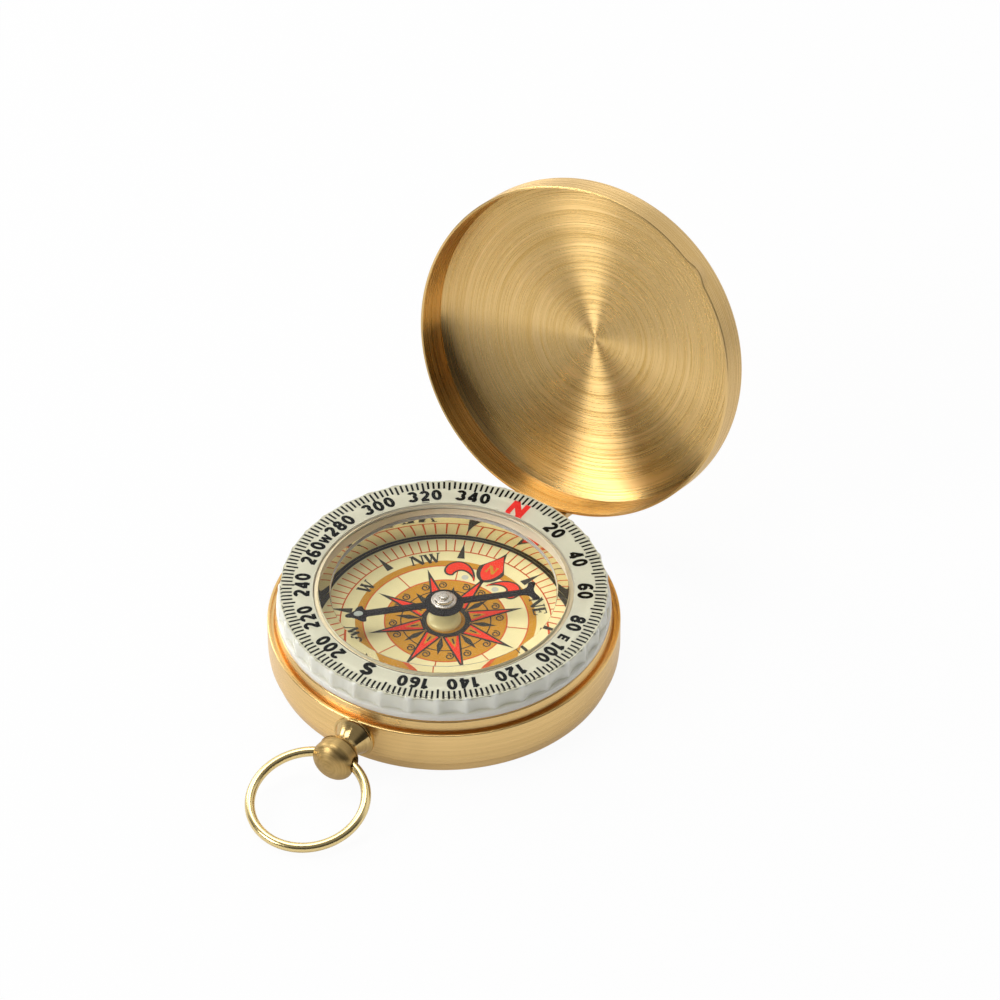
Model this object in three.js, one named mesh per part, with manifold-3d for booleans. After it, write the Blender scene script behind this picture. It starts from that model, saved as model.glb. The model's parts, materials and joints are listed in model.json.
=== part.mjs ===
// Pocket compass with a hinged lid: a turned brass case, a clear rotating bezel with a degree scale,
// a dial well with a pivoted needle under a crystal, and a pendant that holds a wire bow.
// Millimetres, +Z up. The origin is the middle of the case's flat underside.
// The pendant points along -Y and the hinge lies at +Y. The lid stands open, as the compass is used.

import * as THREE from "three";
import { mergeVertices } from "three/addons/utils/BufferGeometryUtils.js";
import Module from "manifold-3d";

// Case
const caseRadius = 25; // main wall, outside
const baseTaper = 0.6; // how far the wall draws in at the underside
const baseRound = 0.5; // rounded edge of the underside
const seamHeight = 2; // joint between the case back and the case body
const seamInset = 0.12; // wall draws in by this much at the seam
const seamGap = 0.12; // open line of the seam
const wallBlend = 1.2; // height over which the wall comes out to full radius
const shoulderHeight = 7.4; // flat ring that the lid closes onto
const shoulderRound = 0.3;
const shoulderWidth = 1.3; // from the main wall in to the neck
const neckHeight = 1.45; // neck above the shoulder
const neckWall = 0.9;
const backPlate = 1.2; // thickness of the case back's plate
const spigotHeight = 1; // case back's ring inside the case body
const spigotWall = 1;

// Dial well
const wellRadius = 17.95; // at the dial
const wellDraft = 0.1; // how much wider the well is at its top
const dialHeight = 6.15; // top of the dial card
const cardThickness = 0.3;
const cupFloor = 1.2;
const cupSkirtWall = 1;
const cupFlange = 1.2; // thickness of the flange inside the neck
const nutRoom = 3.2; // free ring between the cup's skirt and the case body
const ledgeWidth = 0.4; // seat of the crystal
const tubeWall = 0.75; // wall around the crystal
const crystalThickness = 0.8;
const crystalRim = 1.6; // width of the raised rim inside the retainer
const crystalRise = 0.55; // inner edge of that rim above the flat
const crystalSlope = 0.2; // how much higher the rim's outer edge is
const retainerThickness = 0.3;
const retainerReach = 0.3; // how far the retainer shows inside the well's top
const beadHeight = 0.7; // snap groove above the bezel's lower face
const beadThickness = 0.5;
const beadDepth = 0.3;

// Bezel and scale
const scaleThickness = 0.45; // at its inner edge
const scaleFall = 0.3; // its top falls towards the outside by this much
const scaleOverlap = 0.05; // how far its inner edge stands outside the well's top
const bezelFlange = 0.9; // plain lower band of the bezel
const bezelDraw = 0.25; // the scalloped band is this much smaller than the flange
const scallopCount = 36;
const scallopDepth = 0.45;
const scallopShare = 0.7; // scallop's share of the pitch, the rest is a ridge
const scaleMargin = 0.35; // clear rim outside the scale
const bezelTurn = 2; // degrees that the bezel is turned, clockwise from above

// Needle and pivot
const bossRadius = 2.45;
const bossHeight = 1.15;
const bossEdge = 0.25;
const pinRadius = 0.45;
const pinHeight = 3.95; // tip above the dial
const pinTaper = 0.9;
const pinTip = 0.08;
const needleThickness = 0.25;
const needleWidth = 1.25;
const needleArrow = 14.2; // centre to arrow tip
const needleTail = 13.55; // centre to the ends of the crescent
const arrowLength = 2.6;
const arrowWidth = 3;
const crescentWidth = 3.9;
const crescentDepth = 2.2; // from its ends to where the strip begins to widen
const crescentTip = 1; // thickness of its ends
const crescentNotch = 0.5;
const hubRadius = 2.8;
const capRadius = 1.85;
const capHeight = 1.35; // above the needle
const capRoof = 0.3;
const capStep = 0.7; // radius of the cap's shoulder, as a share of the cap
const capStepRise = 0.8; // its height, as a share of the cap
const capNeckRadius = 0.95; // passes through the needle
const capNeckDepth = 0.35; // below the needle
const jewelRadius = 0.5;
const jewelThickness = 0.2;
const lumeRadius = 0.5;
const lumeThickness = 0.1;
const lumePlace = 12.3; // centre to the lume spot
const needleHeadroom = 0.2; // between the cap and the crystal
const needleBearing = 48.8; // degrees of the crescent end from +Y, clockwise from above

// Lid and hinge
const lidInset = 0.1; // lid's wall inside the case's main wall
const lidWall = 0.4;
const lidHeadroom = 0.15; // over the scale's outer edge, when closed
const lidDome = 1.6;
const lidCorner = 1.7; // outer corner
const lipReach = 0.45; // fingernail lip, outwards
const lipWidth = 5.4;
const lipHeight = 3.4;
const lipAngle = 42; // degrees from the pendant, towards +X
const lidOpen = 107; // degrees from closed
const hingeOffset = 1.45; // axis outside the main wall
const hingeHeight = 4.7;
const knuckleRadius = 1.1;
const lidKnuckle = 6; // width of the lid's middle knuckle
const caseKnuckle = 3; // width of each of the case's knuckles
const hingePinRadius = 0.5;
const hingePinHead = 0.3; // pin's length outside each knuckle
const plateHeight = 3.6; // case lug's plate
const seatDepth = 0.15; // flat seats are cut this much below the round wall
const leafHeight = 3; // lid leaf above the rim
const leafThickness = 0.7;

// Pendant and bow
const pendantHeight = 4.3;
const collarRadius = 3.15;
const collarLip = 0.55;
const collarLength = 3.5;
const collarNeck = 1.9;
const collarNeckLength = 0.7;
const collarFlare = 1.5; // power of the curve from the lip to the neck
const ballRadius = 3.13;
const ballLength = 4;
const ballFace = 2.5; // flat end towards the collar
const ballShoulder = 0.75; // rounded length next to that end
const ballNose = 1.7; // rounded length of the free end
const ballHole = 1.55; // cross hole's middle behind the flat end
const ballSpigotRadius = 1.1;
const ballSpigot = 1.3; // length of the ball's spigot in the collar
const studRadius = 0.8;
const studDepth = 1.8; // in the collar
const nutSides = 6;
const nutRadius = 1.9;
const nutThickness = 1.2;
const studTail = 0.3; // past the nut
const bowRadius = 8.14; // middle of the wire
const wireRadius = 0.7;

// Clearances
const fitGap = 0.15; // pieces that are pressed or glued together
const runGap = 0.15; // pieces that turn past each other
const seatGap = 0.3; // curved seats, and pieces on the turned lid
const shaftGap = 0.12; // round the hinge pin, the stud and the pivot pin
const closeGap = 0.1; // lid's rim over the shoulder
const tableGap = 0.05; // bow over the table

// Facets
const wide = 60;
const medium = 36;
const small = 20;

// Places that follow from the sizes
const neckRadius = caseRadius - shoulderWidth;
const neckTop = shoulderHeight + neckHeight;
const boreRadius = neckRadius - neckWall;
const seamRadius = caseRadius - seamInset;
const wellTopRadius = wellRadius + wellDraft;
const pinTop = dialHeight + pinHeight;
const jewelBottom = pinTop + runGap;
const capTop = jewelBottom + jewelThickness + capRoof + fitGap;
const needleTop = capTop - capHeight;
const needleBottom = needleTop - needleThickness;
const crystalBottom = capTop + needleHeadroom;
const crystalTop = crystalBottom + crystalThickness;
const tubeTop = crystalTop + retainerThickness;
const crystalSeat = wellTopRadius + ledgeWidth;
const tubeRadius = crystalSeat + tubeWall;
const bezelBottom = neckTop + runGap;
const bezelTop = tubeTop + runGap;
const bezelRadius = neckRadius;
const scallopRadius = bezelRadius - bezelDraw;
const bezelBore = tubeRadius + runGap;
const scaleTop = bezelTop + scaleThickness;
const scaleRadius = scallopRadius - scaleMargin;
const scaleBore = wellTopRadius + scaleOverlap;
const lidRadius = caseRadius - lidInset;
const lidRim = shoulderHeight + closeGap;
const lidEdge = scaleTop - scaleFall + lidHeadroom;
const hingeY = caseRadius + hingeOffset;
const lugHalf = lidKnuckle / 2 + runGap + caseKnuckle;
const lugSeat = Math.sqrt(caseRadius ** 2 - lugHalf ** 2) - seatDepth;
const lugFace = hingeY - knuckleRadius - seatGap;
const collarSeat = Math.sqrt(caseRadius ** 2 - collarRadius ** 2) - seatDepth;
const ballStart = collarSeat + collarLength + fitGap;
const pivotY = -(ballStart + ballHole);
const bowSag = bowRadius - Math.sqrt(bowRadius ** 2 - ballRadius ** 2);
const bowHole = wireRadius + bowSag / 2 + runGap;
const bowCentre = bowRadius - bowSag / 2;
const bowDrop = Math.asin((pendantHeight - wireRadius - tableGap) / (bowCentre + bowRadius));
const nutFace = Math.sqrt(boreRadius ** 2 - nutRadius ** 2) - seatGap;

const wasm = await Module();
wasm.setup();

const degrees = Math.PI / 180;
const axisX = new THREE.Vector3(1, 0, 0);
const axisY = new THREE.Vector3(0, 1, 0);
const axisZ = new THREE.Vector3(0, 0, 1);
// A shape drawn in (y, z) and extruded along X
const alongX = new THREE.Matrix4().makeBasis(axisY, axisZ, axisX);
// A turned piece whose own +Z becomes -Y, for the pendant
const towardsPendant = new THREE.Matrix4().makeBasis(axisX, axisZ, axisY.clone().negate());

const brass = { color: 0xc39b5f, roughness: 0.32, metalness: 1 };
const agedBrass = { color: 0xa57d41, roughness: 0.4, metalness: 1 };
const wireBrass = { color: 0xc8aa50, roughness: 0.25, metalness: 1 };
const steel = { color: 0xaaa49c, roughness: 0.3, metalness: 1 };
const clear = { color: 0xe8ece4, roughness: 0.05, metalness: 0, transparent: true, opacity: 0.35 };

// Joins shared corners, drops flat triangles at the poles and turns the faces outwards
function closed(geometry) {
  geometry.deleteAttribute("normal");
  geometry.deleteAttribute("uv");
  const merged = mergeVertices(geometry, 1e-4);
  const corners = merged.index.array;
  const kept = [];
  let volume = 0;
  const [a, b, c] = [new THREE.Vector3(), new THREE.Vector3(), new THREE.Vector3()];
  for (let i = 0; i < corners.length; i += 3) {
    const [p, q, r] = corners.slice(i, i + 3);
    if (p === q || q === r || r === p) continue;
    kept.push(p, q, r);
    a.fromBufferAttribute(merged.attributes.position, p);
    b.fromBufferAttribute(merged.attributes.position, q);
    c.fromBufferAttribute(merged.attributes.position, r);
    volume += a.dot(b.cross(c));
  }
  merged.setIndex(volume < 0 ? kept.reverse() : kept);
  return merged;
}

function solid(geometry) {
  const vertProperties = new Float32Array(geometry.attributes.position.array);
  const triVerts = new Uint32Array(geometry.index.array);
  return new wasm.Manifold(new wasm.Mesh({ numProp: 3, vertProperties, triVerts }));
}

function shell(manifold) {
  const { vertProperties, triVerts } = manifold.getMesh();
  const geometry = new THREE.BufferGeometry();
  geometry.setAttribute("position", new THREE.BufferAttribute(vertProperties, 3));
  geometry.setIndex(new THREE.BufferAttribute(triVerts, 1));
  return geometry;
}

function joined(...pieces) {
  return shell(pieces.map(solid).reduce((whole, piece) => whole.add(piece)));
}

function cut(body, ...tools) {
  return shell(tools.map(solid).reduce((whole, tool) => whole.subtract(tool), solid(body)));
}

// Turned about Z from points [radius, height]
function turned(points, facets) {
  const profile = points.map(([radius, height]) => new THREE.Vector2(radius, height));
  return closed(new THREE.LatheGeometry(profile, facets).rotateX(Math.PI / 2));
}

// Turned ring: the profile closes on itself
function ring(points, facets) {
  return turned([...points, points[0]], facets);
}

function rod(radius, from, to, facets) {
  return turned([[0, from], [radius, from], [radius, to], [0, to]], facets);
}

function block(low, high) {
  const size = high.map((value, i) => value - low[i]);
  const middle = high.map((value, i) => (value + low[i]) / 2);
  return closed(new THREE.BoxGeometry(...size).translate(...middle));
}

// Quarter-like arcs as points [radius, height]
function arc(centre, radius, from, to, steps) {
  return Array.from({ length: steps + 1 }, (_, i) => {
    const angle = (from + ((to - from) * i) / steps) * degrees;
    return [centre[0] + radius * Math.cos(angle), centre[1] + radius * Math.sin(angle)];
  });
}

function extruded(shape, length, facets) {
  return closed(new THREE.ExtrudeGeometry(shape, { depth: length, bevelEnabled: false, curveSegments: facets }));
}

const compass = new THREE.Group();

function add(parent, name, geometry, look) {
  const mesh = new THREE.Mesh(geometry, new THREE.MeshStandardMaterial(look));
  mesh.name = name;
  parent.add(mesh);
}

// Case body: main wall, shoulder and neck, with flat seats for the hinge lug and the pendant collar
function caseBody() {
  const wall = ring([
    [seamRadius, seamHeight],
    [caseRadius, seamHeight + wallBlend],
    [caseRadius, shoulderHeight - shoulderRound],
    [caseRadius - shoulderRound, shoulderHeight],
    [neckRadius, shoulderHeight],
    [neckRadius, neckTop],
    [boreRadius, neckTop],
    [boreRadius, seamHeight],
  ], wide);
  const lugHigh = plateHeight / 2 + fitGap;
  const lugWide = lugHalf + fitGap;
  const lugPocket = block(
    [-lugWide, lugSeat, hingeHeight - lugHigh],
    [lugWide, hingeY, hingeHeight + lugHigh],
  );
  const studHole = placedOnPendant(rod(studRadius + shaftGap, nutFace, ballStart, small));
  return cut(wall, lugPocket, collarSpotFace(), studHole);
}

// Flat round seat of the pendant collar, cut across the seam
function collarSpotFace() {
  return placedOnPendant(rod(collarRadius + fitGap, collarSeat, ballStart, medium));
}

function placedOnPendant(geometry) {
  return geometry.applyMatrix4(towardsPendant).translate(0, 0, pendantHeight);
}

// Case back: flat plate with a ring that presses into the case body, notched for the pendant nut
function caseBack() {
  const baseRadius = caseRadius - baseTaper;
  const spigot = boreRadius - fitGap;
  const plate = turned([
    [0, 0],
    [baseRadius - baseRound, 0],
    [baseRadius, baseRound],
    [seamRadius - seamGap, seamHeight - seamGap],
    [spigot, seamHeight - seamGap],
    [spigot, seamHeight + spigotHeight],
    [spigot - spigotWall, seamHeight + spigotHeight],
    [spigot - spigotWall, backPlate],
    [0, backPlate],
  ], wide);
  const nutNotch = rod(nutRadius + seatGap, nutFace - nutThickness - studTail - seatGap, boreRadius, small);
  return cut(plate, collarSpotFace(), placedOnPendant(nutNotch));
}

// Dial cup: floor under the dial card, well wall, seat for the crystal, and the flange inside the neck
function dialCup() {
  const cardSeat = dialHeight - cardThickness;
  const skirt = boreRadius - nutRoom;
  const groove = bezelBottom + beadHeight;
  const pinHole = pinRadius + shaftGap;
  return ring([
    [pinHole, cardSeat - cupFloor],
    [skirt - cupSkirtWall, cardSeat - cupFloor],
    [skirt - cupSkirtWall, backPlate],
    [skirt, backPlate],
    [skirt, neckTop - cupFlange],
    [boreRadius - fitGap, neckTop - cupFlange],
    [boreRadius - fitGap, neckTop],
    [tubeRadius, neckTop],
    [tubeRadius, groove - runGap],
    [tubeRadius - beadDepth, groove - runGap],
    [tubeRadius - beadDepth, groove + beadThickness + runGap],
    [tubeRadius, groove + beadThickness + runGap],
    [tubeRadius, tubeTop],
    [crystalSeat, tubeTop],
    [crystalSeat, crystalBottom],
    [wellTopRadius, crystalBottom],
    [wellRadius, cardSeat],
    [pinHole, cardSeat],
  ], wide);
}

function dialCard() {
  const hole = pinRadius + shaftGap;
  const edge = wellRadius - fitGap;
  const low = dialHeight - cardThickness;
  return ring([[hole, low], [edge, low], [edge, dialHeight], [hole, dialHeight]], wide);
}

// Crystal: a flat window, with a raised rim that stands inside the retainer
function crystal() {
  const edge = crystalSeat - fitGap;
  const rimOuter = wellTopRadius - retainerReach - fitGap;
  const rimInner = rimOuter - crystalRim;
  const rimTop = crystalTop + crystalRise;
  return turned([
    [0, crystalBottom],
    [edge, crystalBottom],
    [edge, crystalTop],
    [rimOuter, crystalTop],
    [rimOuter, rimTop + crystalSlope],
    [rimInner, rimTop],
    [rimInner, crystalTop],
    [0, crystalTop],
  ], wide);
}

function crystalRetainer() {
  const inner = wellTopRadius - retainerReach;
  const outer = crystalSeat - fitGap;
  return ring([[inner, crystalTop], [outer, crystalTop], [outer, tubeTop], [inner, tubeTop]], wide);
}

// Bezel: scalloped clear band on a plain flange, bored for the well's tube, with a snap bead inside
function bezelRing() {
  const pitch = (2 * Math.PI) / scallopCount;
  const outline = [];
  for (let i = 0; i < scallopCount; i += 1) {
    for (const turn of [-0.5, -0.25, 0, 0.25, 0.5]) {
      const depth = 1 - (2 * turn) ** 2;
      const angle = (i + 0.5 + turn * scallopShare) * pitch;
      const radius = scallopRadius - depth * scallopDepth;
      outline.push(new THREE.Vector2(radius * Math.cos(angle), radius * Math.sin(angle)));
    }
  }
  const flangeTop = bezelBottom + bezelFlange;
  const band = extruded(new THREE.Shape(outline), bezelTop - flangeTop, 1).translate(0, 0, flangeTop);
  const flange = rod(bezelRadius, bezelBottom, flangeTop, wide);
  const beadLow = bezelBottom + beadHeight;
  const beadRadius = bezelBore - beadDepth;
  const over = bezelFlange;
  const bore = turned([
    [0, bezelBottom - over],
    [bezelBore, bezelBottom - over],
    [bezelBore, beadLow],
    [beadRadius, beadLow],
    [beadRadius, beadLow + beadThickness],
    [bezelBore, beadLow + beadThickness],
    [bezelBore, bezelTop + over],
    [0, bezelTop + over],
  ], wide);
  return cut(joined(band, flange), bore);
}

function scaleRing() {
  return ring([
    [scaleBore, bezelTop],
    [scaleRadius, bezelTop],
    [scaleRadius, scaleTop - scaleFall],
    [scaleBore, scaleTop],
  ], wide);
}

function pivotBoss() {
  const bore = pinRadius + shaftGap;
  const dome = [0.25, 0.5, 0.75, 0.95].map((share) => [
    bore + (bossRadius - bore) * Math.cos(share * 90 * degrees),
    dialHeight + bossEdge + (bossHeight - bossEdge) * Math.sin(share * 90 * degrees),
  ]);
  return ring([
    [bore, dialHeight],
    [bossRadius, dialHeight],
    [bossRadius, dialHeight + bossEdge],
    ...dome,
    [bore, dialHeight + bossHeight],
  ], medium);
}

function pivotPin() {
  return turned([
    [0, dialHeight - cardThickness - cupFloor],
    [pinRadius, dialHeight - cardThickness - cupFloor],
    [pinRadius, pinTop - pinTaper],
    [pinTip, pinTop],
    [0, pinTop],
  ], small);
}

// Needle outline: arrow head at -Y, hub in the middle, crescent at +Y
function needleBlade() {
  const half = needleWidth / 2;
  const hubEdge = Math.sqrt(hubRadius ** 2 - half ** 2);
  const hubAngle = Math.atan2(hubEdge, half);
  const neck = needleArrow - arrowLength;
  const root = needleTail - crescentDepth;
  const back = needleTail - crescentTip;
  const notch = needleTail - crescentNotch;
  const end = crescentWidth / 2;
  const outline = new THREE.Shape();
  outline.moveTo(0, -needleArrow);
  outline.lineTo(arrowWidth / 2, -neck);
  outline.lineTo(half, -neck);
  outline.absarc(0, 0, hubRadius, -hubAngle, hubAngle, false);
  outline.lineTo(half, root);
  outline.quadraticCurveTo(half, back, end, back);
  outline.lineTo(end, needleTail);
  outline.quadraticCurveTo(end / 2, notch, 0, notch);
  outline.quadraticCurveTo(-end / 2, notch, -end, needleTail);
  outline.lineTo(-end, back);
  outline.quadraticCurveTo(-half, back, -half, root);
  outline.absarc(0, 0, hubRadius, Math.PI - hubAngle, Math.PI + hubAngle, false);
  outline.lineTo(-half, -neck);
  outline.lineTo(-arrowWidth / 2, -neck);
  const hole = new THREE.Path().absarc(0, 0, capNeckRadius + shaftGap, 0, 2 * Math.PI, true);
  outline.holes.push(hole);
  return extruded(outline, needleThickness, 8).translate(0, 0, needleBottom);
}

function needleCap() {
  const socket = jewelRadius + shaftGap;
  const low = needleBottom - capNeckDepth;
  return turned([
    [0, jewelBottom + jewelThickness + fitGap],
    [socket, jewelBottom + jewelThickness + fitGap],
    [socket, low],
    [capNeckRadius, low],
    [capNeckRadius, needleTop],
    [capRadius, needleTop],
    [capRadius, needleTop + capHeight / 2],
    [capRadius * capStep, needleTop + capHeight * capStepRise],
    [capNeckRadius / 2, capTop],
    [0, capTop],
  ], medium);
}

function capJewel() {
  return rod(jewelRadius, jewelBottom, jewelBottom + jewelThickness, small);
}

function needleLume() {
  return rod(lumeRadius, needleTop, needleTop + lumeThickness, small).translate(0, -lumePlace, 0);
}

// Lid, drawn closed over the case
function lidShell() {
  const inside = lidRadius - lidWall;
  const innerCorner = lidCorner - lidWall;
  const flat = lidRadius - lidCorner;
  const top = lidEdge + lidWall;
  const dome = (level, share) => [flat * share, level + lidDome * (1 - share ** 2)];
  const shares = [0.35, 0.65, 0.85];
  const cap = turned([
    dome(top, 0),
    ...shares.map((share) => dome(top, share)),
    ...arc([flat, top - lidCorner], lidCorner, 90, 0, 4),
    [lidRadius, lidRim],
    [inside, lidRim],
    ...arc([flat, lidEdge - innerCorner], innerCorner, 0, 90, 3),
    ...shares.toReversed().map((share) => dome(lidEdge, share)),
    dome(lidEdge, 0),
  ], wide);
  const lip = new THREE.SphereGeometry(1, 12, 8).scale(lipWidth / 2, lidWall + lipReach, lipHeight);
  lip.translate(0, -lidRadius + lidWall, lidRim).rotateZ(lipAngle * degrees);
  const hollow = rod(inside + lidWall / 2, -lipHeight, lidEdge - lidCorner, wide);
  const below = rod(2 * lidRadius, -lipHeight, lidRim, small);
  return joined(cap, cut(closed(lip), hollow, below));
}

// A knuckle drawn in (y, z): a round eye on a web that runs to the plane y = root
function knuckle(root, width) {
  const outline = new THREE.Shape();
  outline.moveTo(root, hingeHeight - knuckleRadius);
  outline.lineTo(hingeY, hingeHeight - knuckleRadius);
  outline.absarc(hingeY, hingeHeight, knuckleRadius, -Math.PI / 2, Math.PI / 2, false);
  outline.lineTo(root, hingeHeight + knuckleRadius);
  const eye = new THREE.Path().absarc(hingeY, hingeHeight, hingePinRadius + shaftGap, 0, 2 * Math.PI, true);
  outline.holes.push(eye);
  return extruded(outline, width, 10).applyMatrix4(alongX);
}

// Case lug: a plate on the case's flat seat, with a knuckle at each end
function caseHingeLug() {
  const inner = lidKnuckle / 2 + runGap;
  const plate = block(
    [-lugHalf, lugSeat, hingeHeight - plateHeight / 2],
    [lugHalf, lugFace, hingeHeight + plateHeight / 2],
  );
  const root = (lugSeat + lugFace) / 2;
  const right = knuckle(root, caseKnuckle).translate(inner, 0, 0);
  const left = knuckle(root, caseKnuckle).translate(-lugHalf, 0, 0);
  return joined(plate, right, left);
}

// A rod drawn along Z, laid along X on the hinge's axis
function onHinge(geometry) {
  return geometry.applyMatrix4(alongX).translate(0, hingeY, hingeHeight);
}

function hingePin() {
  const half = lugHalf + hingePinHead;
  return onHinge(rod(hingePinRadius, -half, half, small));
}

// Lid leaf, drawn closed: an eye between the case's knuckles and a plate up the lid's outside wall
function lidHingeLeaf() {
  const face = lidRadius + seatGap;
  const back = face + leafThickness;
  const bend = lidRim + leafThickness;
  const deep = Math.sqrt(lidRadius ** 2 - (lidKnuckle / 2) ** 2);
  const web = new THREE.Shape();
  web.moveTo(hingeY - knuckleRadius, hingeHeight);
  web.lineTo(hingeY + knuckleRadius, hingeHeight);
  web.lineTo(back, bend);
  web.lineTo(back, lidRim + leafHeight);
  web.lineTo(deep, lidRim + leafHeight);
  web.lineTo(deep, lidRim + seatGap);
  web.lineTo(face, lidRim + seatGap);
  const half = lidKnuckle / 2;
  const eye = onHinge(rod(knuckleRadius, -half, half, small));
  const bore = onHinge(rod(hingePinRadius + shaftGap, -lidKnuckle, lidKnuckle, small));
  const leaf = extruded(web, lidKnuckle, 1).applyMatrix4(alongX).translate(-half, 0, 0);
  const wall = rod(lidRadius + seatGap, 0, 2 * lidRim + leafHeight, wide);
  return cut(joined(eye, leaf), wall, bore);
}

// Pendant pieces are turned about their own +Z, which then points along -Y
function pendantCollar() {
  const studBore = studRadius + shaftGap;
  const spigotBore = ballSpigotRadius + shaftGap;
  const end = collarSeat + collarLength;
  const spigotEnd = end - ballSpigot;
  const taper = collarLength - collarLip - collarNeckLength;
  const flare = [0, 0.3, 0.65, 1].map((share) => [
    collarNeck + (collarRadius - collarLip / 2 - collarNeck) * (1 - share) ** collarFlare,
    collarSeat + collarLip + taper * share,
  ]);
  return placedOnPendant(ring([
    [studBore, collarSeat],
    [collarRadius, collarSeat],
    [collarRadius, collarSeat + collarLip / 2],
    ...flare,
    [collarNeck, end],
    [spigotBore, end],
    [spigotBore, spigotEnd],
    [studBore, spigotEnd],
  ], medium));
}

function pendantStud() {
  return placedOnPendant(rod(studRadius, nutFace - nutThickness - studTail, collarSeat + studDepth, small));
}

function pendantNut() {
  const corners = Array.from({ length: nutSides }, (_, i) => {
    const angle = ((2 * Math.PI) / nutSides) * i;
    return new THREE.Vector2(nutRadius * Math.cos(angle), nutRadius * Math.sin(angle));
  });
  const outline = new THREE.Shape(corners);
  outline.holes.push(new THREE.Path().absarc(0, 0, studRadius + shaftGap, 0, 2 * Math.PI, true));
  return placedOnPendant(extruded(outline, nutThickness, 10).translate(0, 0, nutFace - nutThickness));
}

// Ball: a spigot in the collar, a flat end, a barrel with the cross hole and a rounded free end
function bowBall() {
  const noseStart = ballStart + ballLength - ballNose;
  const nose = [0, 20, 40, 60, 78, 90].map((angle) => [
    ballRadius * Math.cos(angle * degrees),
    noseStart + ballNose * Math.sin(angle * degrees),
  ]);
  const spigotEnd = ballStart - ballSpigot;
  const ball = turned([
    [0, spigotEnd],
    [ballSpigotRadius, spigotEnd],
    [ballSpigotRadius, ballStart],
    [ballFace, ballStart],
    [(ballFace + ballRadius) / 2, ballStart + ballShoulder / 4],
    [ballRadius, ballStart + ballShoulder],
    ...nose,
  ], medium);
  const across = rod(bowHole, -2 * ballRadius, 2 * ballRadius, small);
  across.rotateY(Math.PI / 2).translate(0, 0, ballStart + ballHole);
  return placedOnPendant(cut(ball, across));
}

// Bow, drawn level about its own pivot
function bowRing() {
  return closed(new THREE.TorusGeometry(bowRadius, wireRadius, 10, 44).translate(0, -bowCentre, 0));
}

add(compass, "case_body", caseBody(), brass);
add(compass, "case_back", caseBack(), brass);
add(compass, "case_hinge_lug", caseHingeLug(), brass);
add(compass, "hinge_pin", hingePin(), steel);
add(compass, "dial_cup", dialCup(), { color: 0xd8d2bc, roughness: 0.12, metalness: 0 });
add(compass, "dial_card", dialCard(), { color: 0xfaf0b4, roughness: 0.6, metalness: 0 });
add(compass, "pivot_boss", pivotBoss(), { color: 0xe6cf8a, roughness: 0.25, metalness: 0.8 });
add(compass, "pivot_pin", pivotPin(), steel);
add(compass, "crystal", crystal(), clear);
add(compass, "crystal_retainer", crystalRetainer(), brass);
add(compass, "pendant_collar", pendantCollar(), brass);
add(compass, "pendant_stud", pendantStud(), agedBrass);
add(compass, "pendant_nut", pendantNut(), agedBrass);
add(compass, "bow_ball", bowBall(), agedBrass);

const bezel = new THREE.Group();
bezel.rotation.z = -bezelTurn * degrees;
add(bezel, "bezel_ring", bezelRing(), clear);
add(bezel, "scale_ring", scaleRing(), { color: 0xdcdccb, roughness: 0.5, metalness: 0 });
compass.add(bezel);

const needle = new THREE.Group();
needle.rotation.z = -needleBearing * degrees;
add(needle, "needle", needleBlade(), { color: 0x231f22, roughness: 0.5, metalness: 0.2 });
add(needle, "needle_cap", needleCap(), steel);
add(needle, "cap_jewel", capJewel(), { color: 0xb03038, roughness: 0.1, metalness: 0 });
add(needle, "needle_lume", needleLume(), { color: 0xb9bcae, roughness: 0.6, metalness: 0 });
compass.add(needle);

const lid = new THREE.Group();
lid.position.set(0, hingeY, hingeHeight);
lid.rotation.x = -lidOpen * degrees;
const lidClosed = new THREE.Group();
lidClosed.position.set(0, -hingeY, -hingeHeight);
add(lidClosed, "lid_shell", lidShell(), brass);
add(lidClosed, "lid_hinge_leaf", lidHingeLeaf(), brass);
lid.add(lidClosed);
compass.add(lid);

const bow = new THREE.Group();
bow.position.set(0, pivotY, pendantHeight);
bow.rotation.x = bowDrop;
add(bow, "bow_ring", bowRing(), wireBrass);
compass.add(bow);

export default compass;
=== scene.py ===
"""Looks of a brass pocket compass with a hinged lid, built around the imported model.

Lengths are millimetres until a mesh is made. On the dial and the scale, north is +Y and
bearings run clockwise.
"""

import json
import math

import bmesh
import bpy
from mathutils import Matrix, Vector


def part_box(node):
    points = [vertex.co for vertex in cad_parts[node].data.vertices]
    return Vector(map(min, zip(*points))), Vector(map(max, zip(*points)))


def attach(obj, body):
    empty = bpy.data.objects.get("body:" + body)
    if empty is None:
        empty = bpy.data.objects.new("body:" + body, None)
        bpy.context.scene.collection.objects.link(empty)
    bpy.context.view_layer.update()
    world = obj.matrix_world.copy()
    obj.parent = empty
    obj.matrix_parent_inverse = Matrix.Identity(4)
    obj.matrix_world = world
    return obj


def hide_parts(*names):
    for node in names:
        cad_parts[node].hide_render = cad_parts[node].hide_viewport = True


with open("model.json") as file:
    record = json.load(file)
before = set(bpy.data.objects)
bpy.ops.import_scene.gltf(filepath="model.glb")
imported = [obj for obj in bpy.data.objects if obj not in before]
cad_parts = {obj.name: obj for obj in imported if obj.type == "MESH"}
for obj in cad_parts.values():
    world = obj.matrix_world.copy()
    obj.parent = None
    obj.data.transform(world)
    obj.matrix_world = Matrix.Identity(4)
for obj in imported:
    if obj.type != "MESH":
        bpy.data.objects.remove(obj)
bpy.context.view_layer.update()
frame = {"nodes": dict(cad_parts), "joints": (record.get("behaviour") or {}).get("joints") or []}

MM = 0.001
SHARP = math.radians(35)  # edges that turn more than this stay crisp
LATHE_RELIEF = 0.00003  # depth of the marks of a lathe, in metres
GRAIN_RELIEF = 0.00001  # depth of the grain of other surfaces, in metres


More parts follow.
